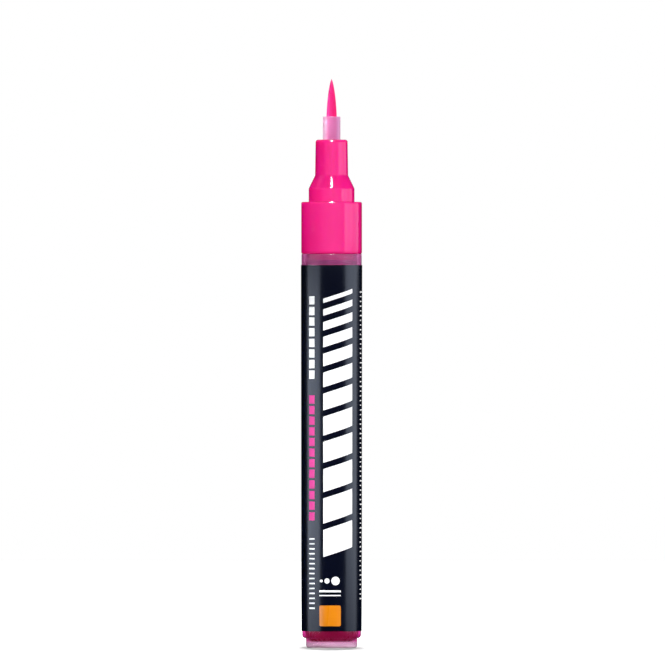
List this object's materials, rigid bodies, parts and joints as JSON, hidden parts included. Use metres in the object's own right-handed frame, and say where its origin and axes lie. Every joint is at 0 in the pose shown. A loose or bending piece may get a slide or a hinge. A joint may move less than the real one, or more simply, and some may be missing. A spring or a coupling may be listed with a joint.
{
  "type": "paint marker",
  "caption": "Slim refillable pump paint marker with a translucent tank, a screwed front section, a sprung valve and an exchangeable brush nib, standing on its tail, uncapped.",
  "frame": {"origin": "centre of the tail's foot, in the plane that the marker stands on", "axes": "+Z along the marker's axis from the tail to the brush, +X to the right and +Y away from the viewer, so the label's front faces -Y and its seam +Y"},
  "size_m": [0.013, 0.013, 0.1206],
  "materials": {
    "clear_plastic": "translucent, satin",
    "black_film": "glossy printed film",
    "ball_steel": "polished",
    "seal_rubber": "matte",
    "pink_plastic": "glossy",
    "white_plastic": "satin",
    "seat_rubber": "matte",
    "spring_steel": "drawn wire",
    "holder_plastic": "translucent, satin",
    "brush_fibre": "fine hairs wet with paint",
    "rod_fibre": "porous fibre stained by paint"
  },
  "bodies": {
    "barrel": {"barrel": "clear_plastic", "barrel_label": "black_film"},
    "seal_ring": {"section_seal": "seal_rubber"},
    "section": {"front_section": "pink_plastic", "valve_housing": "white_plastic", "valve_seat": "seat_rubber", "valve_cage": "white_plastic", "valve_spring": "spring_steel"},
    "plunger": {"valve_plunger": "white_plastic"},
    "nib": {"nib_holder": "holder_plastic", "brush_nib": "brush_fibre", "feed_rod": "rod_fibre"},
    "mixing_ball": {"mixing_ball": "ball_steel"}
  },
  "joints": [
    {"name": "section_lift", "type": "slide", "parent": "barrel", "child": "seal_ring", "axis": [0, 0, 1], "range_m": [0, 0.0045]},
    {"name": "section_turn", "type": "hinge", "parent": "seal_ring", "child": "section", "pos_m": [0, 0, 0.0835], "axis": [0, 0, 1], "range_deg": [0, 1080]},
    {"name": "nib_pump", "type": "slide", "parent": "section", "child": "plunger", "axis": [0, 0, 1], "range_m": [-0.0025, 0], "stiffness_N_per_m": 250, "springref_m": 0.003, "deforming": ["valve_spring"]},
    {"name": "nib_pull", "type": "slide", "parent": "plunger", "child": "nib", "axis": [0, 0, 1], "range_m": [0, 0.022]},
    {"name": "ball_roll", "type": "slide", "parent": "barrel", "child": "mixing_ball", "axis": [0, 0, 1], "range_m": [0, 0.0528]}
  ],
  "couplings": [
    {"joint": "section_turn", "follows": "section_lift", "rad_per_m": 4188.8}
  ]
}
